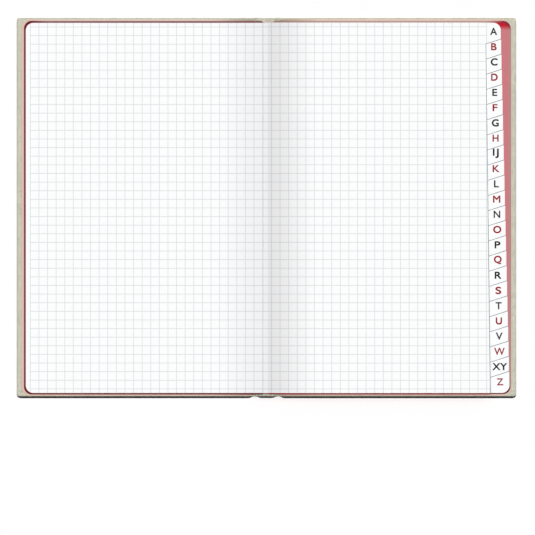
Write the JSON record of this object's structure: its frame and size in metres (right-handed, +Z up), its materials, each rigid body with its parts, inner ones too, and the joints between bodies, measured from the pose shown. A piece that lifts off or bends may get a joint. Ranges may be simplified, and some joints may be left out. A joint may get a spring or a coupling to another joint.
{
  "type": "index notebook",
  "caption": "Cloth-covered grid notebook with a stepped alphabetical index at the fore-edge, lying open; one linked fold closes its cover, spine and leaves.",
  "frame": {"origin": "bottom centre of the open book, on the surface it lies on", "axes": "+X towards the fore-edge of the right-hand page, +Y towards the head, +Z up out of the pages"},
  "size_m": [0.2902, 0.22, 0.0079],
  "materials": {
    "cloth": "matt plain weave",
    "board": "pressed grey board",
    "paper": "smooth uncoated, grid printed, edges stained red",
    "endpaper": "plain uncoated",
    "folds": "glued folds",
    "mull": "open gauze"
  },
  "bodies": {
    "back_cover": {"back_board": "board", "back_cover_cloth": "cloth", "back_pastedown": "endpaper", "back_flyleaf": "endpaper"},
    "case_spine": {"spine_strip": "board", "spine_cloth": "cloth"},
    "front_cover": {"front_board": "board", "front_cover_cloth": "cloth", "front_pastedown": "endpaper"},
    "text_spine": {"section_backs": "folds", "spine_mull": "mull"},
    "front_flyleaf": {"front_flyleaf": "endpaper"},
    "front_leaves_1": {"front_leaves_1": "paper"},
    "front_leaves_2": {"front_leaves_2": "paper"},
    "front_leaves_3": {"front_leaves_3": "paper"},
    "leaves_A": {"leaves_A": "paper"},
    "leaves_B": {"leaves_B": "paper"},
    "leaves_C": {"leaves_C": "paper"},
    "leaves_D": {"leaves_D": "paper"},
    "leaves_E": {"leaves_E": "paper"},
    "leaves_F": {"leaves_F": "paper"},
    "leaves_G": {"leaves_G": "paper"},
    "leaves_H": {"leaves_H": "paper"},
    "leaves_IJ": {"leaves_IJ": "paper"},
    "leaves_K": {"leaves_K": "paper"},
    "leaves_L": {"leaves_L": "paper"},
    "leaves_M": {"leaves_M": "paper"},
    "leaves_N": {"leaves_N": "paper"},
    "leaves_O": {"leaves_O": "paper"},
    "leaves_P": {"leaves_P": "paper"},
    "leaves_Q": {"leaves_Q": "paper"},
    "leaves_R": {"leaves_R": "paper"},
    "leaves_S": {"leaves_S": "paper"},
    "leaves_T": {"leaves_T": "paper"},
    "leaves_U": {"leaves_U": "paper"},
    "leaves_V": {"leaves_V": "paper"},
    "leaves_W": {"leaves_W": "paper"},
    "leaves_XY": {"leaves_XY": "paper"},
    "leaves_Z": {"leaves_Z": "paper"}
  },
  "joints": [
    {"name": "case_spine_hinge", "type": "hinge", "parent": "back_cover", "child": "case_spine", "pos_m": [0.0038, 0, 0.0023], "axis": [0, 1, 0], "range_deg": [0, 90]},
    {"name": "front_cover_hinge", "type": "hinge", "parent": "case_spine", "child": "front_cover", "pos_m": [-0.0038, 0, 0.0023], "axis": [0, 1, 0], "range_deg": [0, 90]},
    {"name": "text_spine_hinge", "type": "hinge", "parent": "back_cover", "child": "text_spine", "pos_m": [0.0034, 0, 0.00259], "axis": [0, 1, 0], "range_deg": [0, 90]},
    {"name": "front_flyleaf_hinge", "type": "hinge", "parent": "text_spine", "child": "front_flyleaf", "pos_m": [-0.00319, 0, 0.00264], "axis": [0, 1, 0], "range_deg": [0, 90]},
    {"name": "front_leaves_1_hinge", "type": "hinge", "parent": "text_spine", "child": "front_leaves_1", "pos_m": [-0.00298, 0, 0.00284], "axis": [0, 1, 0], "range_deg": [0, 90]},
    {"name": "front_leaves_2_hinge", "type": "hinge", "parent": "text_spine", "child": "front_leaves_2", "pos_m": [-0.00278, 0, 0.00305], "axis": [0, 1, 0], "range_deg": [0, 90]},
    {"name": "front_leaves_3_hinge", "type": "hinge", "parent": "text_spine", "child": "front_leaves_3", "pos_m": [-0.00258, 0, 0.00326], "axis": [0, 1, 0], "range_deg": [0, 90]},
    {"name": "leaves_A_hinge", "type": "hinge", "parent": "text_spine", "child": "leaves_A", "pos_m": [0.00085, 0, 0.00513], "axis": [0, 1, 0], "range_deg": [-90, 0]},
    {"name": "leaves_B_hinge", "type": "hinge", "parent": "text_spine", "child": "leaves_B", "pos_m": [0.00097, 0, 0.00502], "axis": [0, 1, 0], "range_deg": [-90, 0]},
    {"name": "leaves_C_hinge", "type": "hinge", "parent": "text_spine", "child": "leaves_C", "pos_m": [0.00108, 0, 0.00492], "axis": [0, 1, 0], "range_deg": [-90, 0]},
    {"name": "leaves_D_hinge", "type": "hinge", "parent": "text_spine", "child": "leaves_D", "pos_m": [0.00119, 0, 0.00481], "axis": [0, 1, 0], "range_deg": [-90, 0]},
    {"name": "leaves_E_hinge", "type": "hinge", "parent": "text_spine", "child": "leaves_E", "pos_m": [0.00129, 0, 0.0047], "axis": [0, 1, 0], "range_deg": [-90, 0]},
    {"name": "leaves_F_hinge", "type": "hinge", "parent": "text_spine", "child": "leaves_F", "pos_m": [0.0014, 0, 0.00458], "axis": [0, 1, 0], "range_deg": [-90, 0]},
    {"name": "leaves_G_hinge", "type": "hinge", "parent": "text_spine", "child": "leaves_G", "pos_m": [0.00152, 0, 0.00447], "axis": [0, 1, 0], "range_deg": [-90, 0]},
    {"name": "leaves_H_hinge", "type": "hinge", "parent": "text_spine", "child": "leaves_H", "pos_m": [0.00162, 0, 0.00436], "axis": [0, 1, 0], "range_deg": [-90, 0]},
    {"name": "leaves_IJ_hinge", "type": "hinge", "parent": "text_spine", "child": "leaves_IJ", "pos_m": [0.00173, 0, 0.00426], "axis": [0, 1, 0], "range_deg": [-90, 0]},
    {"name": "leaves_K_hinge", "type": "hinge", "parent": "text_spine", "child": "leaves_K", "pos_m": [0.00185, 0, 0.00415], "axis": [0, 1, 0], "range_deg": [-90, 0]},
    {"name": "leaves_L_hinge", "type": "hinge", "parent": "text_spine", "child": "leaves_L", "pos_m": [0.00196, 0, 0.00404], "axis": [0, 1, 0], "range_deg": [-90, 0]},
    {"name": "leaves_M_hinge", "type": "hinge", "parent": "text_spine", "child": "leaves_M", "pos_m": [0.00206, 0, 0.00392], "axis": [0, 1, 0], "range_deg": [-90, 0]},
    {"name": "leaves_N_hinge", "type": "hinge", "parent": "text_spine", "child": "leaves_N", "pos_m": [0.00217, 0, 0.00381], "axis": [0, 1, 0], "range_deg": [-90, 0]},
    {"name": "leaves_O_hinge", "type": "hinge", "parent": "text_spine", "child": "leaves_O", "pos_m": [0.00229, 0, 0.0037], "axis": [0, 1, 0], "range_deg": [-90, 0]},
    {"name": "leaves_P_hinge", "type": "hinge", "parent": "text_spine", "child": "leaves_P", "pos_m": [0.00239, 0, 0.0036], "axis": [0, 1, 0], "range_deg": [-90, 0]},
    {"name": "leaves_Q_hinge", "type": "hinge", "parent": "text_spine", "child": "leaves_Q", "pos_m": [0.0025, 0, 0.00348], "axis": [0, 1, 0], "range_deg": [-90, 0]},
    {"name": "leaves_R_hinge", "type": "hinge", "parent": "text_spine", "child": "leaves_R", "pos_m": [0.00262, 0, 0.00337], "axis": [0, 1, 0], "range_deg": [-90, 0]},
    {"name": "leaves_S_hinge", "type": "hinge", "parent": "text_spine", "child": "leaves_S", "pos_m": [0.00272, 0, 0.00327], "axis": [0, 1, 0], "range_deg": [-90, 0]},
    {"name": "leaves_T_hinge", "type": "hinge", "parent": "text_spine", "child": "leaves_T", "pos_m": [0.00283, 0, 0.00315], "axis": [0, 1, 0], "range_deg": [-90, 0]},
    {"name": "leaves_U_hinge", "type": "hinge", "parent": "text_spine", "child": "leaves_U", "pos_m": [0.00295, 0, 0.00304], "axis": [0, 1, 0], "range_deg": [-90, 0]},
    {"name": "leaves_V_hinge", "type": "hinge", "parent": "text_spine", "child": "leaves_V", "pos_m": [0.00305, 0, 0.00294], "axis": [0, 1, 0], "range_deg": [-90, 0]},
    {"name": "leaves_W_hinge", "type": "hinge", "parent": "text_spine", "child": "leaves_W", "pos_m": [0.00316, 0, 0.00282], "axis": [0, 1, 0], "range_deg": [-90, 0]},
    {"name": "leaves_XY_hinge", "type": "hinge", "parent": "text_spine", "child": "leaves_XY", "pos_m": [0.00328, 0, 0.00271], "axis": [0, 1, 0], "range_deg": [-90, 0]},
    {"name": "leaves_Z_hinge", "type": "hinge", "parent": "text_spine", "child": "leaves_Z", "pos_m": [0.00338, 0, 0.00261], "axis": [0, 1, 0], "range_deg": [-90, 0]}
  ],
  "couplings": [
    {"joint": "front_cover_hinge", "follows": "case_spine_hinge", "ratio": 1},
    {"joint": "text_spine_hinge", "follows": "case_spine_hinge", "ratio": 1},
    {"joint": "front_flyleaf_hinge", "follows": "case_spine_hinge", "ratio": 1},
    {"joint": "front_leaves_1_hinge", "follows": "case_spine_hinge", "ratio": 1},
    {"joint": "front_leaves_2_hinge", "follows": "case_spine_hinge", "ratio": 1},
    {"joint": "front_leaves_3_hinge", "follows": "case_spine_hinge", "ratio": 1},
    {"joint": "leaves_A_hinge", "follows": "case_spine_hinge", "ratio": -1},
    {"joint": "leaves_B_hinge", "follows": "case_spine_hinge", "ratio": -1},
    {"joint": "leaves_C_hinge", "follows": "case_spine_hinge", "ratio": -1},
    {"joint": "leaves_D_hinge", "follows": "case_spine_hinge", "ratio": -1},
    {"joint": "leaves_E_hinge", "follows": "case_spine_hinge", "ratio": -1},
    {"joint": "leaves_F_hinge", "follows": "case_spine_hinge", "ratio": -1},
    {"joint": "leaves_G_hinge", "follows": "case_spine_hinge", "ratio": -1},
    {"joint": "leaves_H_hinge", "follows": "case_spine_hinge", "ratio": -1},
    {"joint": "leaves_IJ_hinge", "follows": "case_spine_hinge", "ratio": -1},
    {"joint": "leaves_K_hinge", "follows": "case_spine_hinge", "ratio": -1},
    {"joint": "leaves_L_hinge", "follows": "case_spine_hinge", "ratio": -1},
    {"joint": "leaves_M_hinge", "follows": "case_spine_hinge", "ratio": -1},
    {"joint": "leaves_N_hinge", "follows": "case_spine_hinge", "ratio": -1},
    {"joint": "leaves_O_hinge", "follows": "case_spine_hinge", "ratio": -1},
    {"joint": "leaves_P_hinge", "follows": "case_spine_hinge", "ratio": -1},
    {"joint": "leaves_Q_hinge", "follows": "case_spine_hinge", "ratio": -1},
    {"joint": "leaves_R_hinge", "follows": "case_spine_hinge", "ratio": -1},
    {"joint": "leaves_S_hinge", "follows": "case_spine_hinge", "ratio": -1},
    {"joint": "leaves_T_hinge", "follows": "case_spine_hinge", "ratio": -1},
    {"joint": "leaves_U_hinge", "follows": "case_spine_hinge", "ratio": -1},
    {"joint": "leaves_V_hinge", "follows": "case_spine_hinge", "ratio": -1},
    {"joint": "leaves_W_hinge", "follows": "case_spine_hinge", "ratio": -1},
    {"joint": "leaves_XY_hinge", "follows": "case_spine_hinge", "ratio": -1},
    {"joint": "leaves_Z_hinge", "follows": "case_spine_hinge", "ratio": -1}
  ]
}
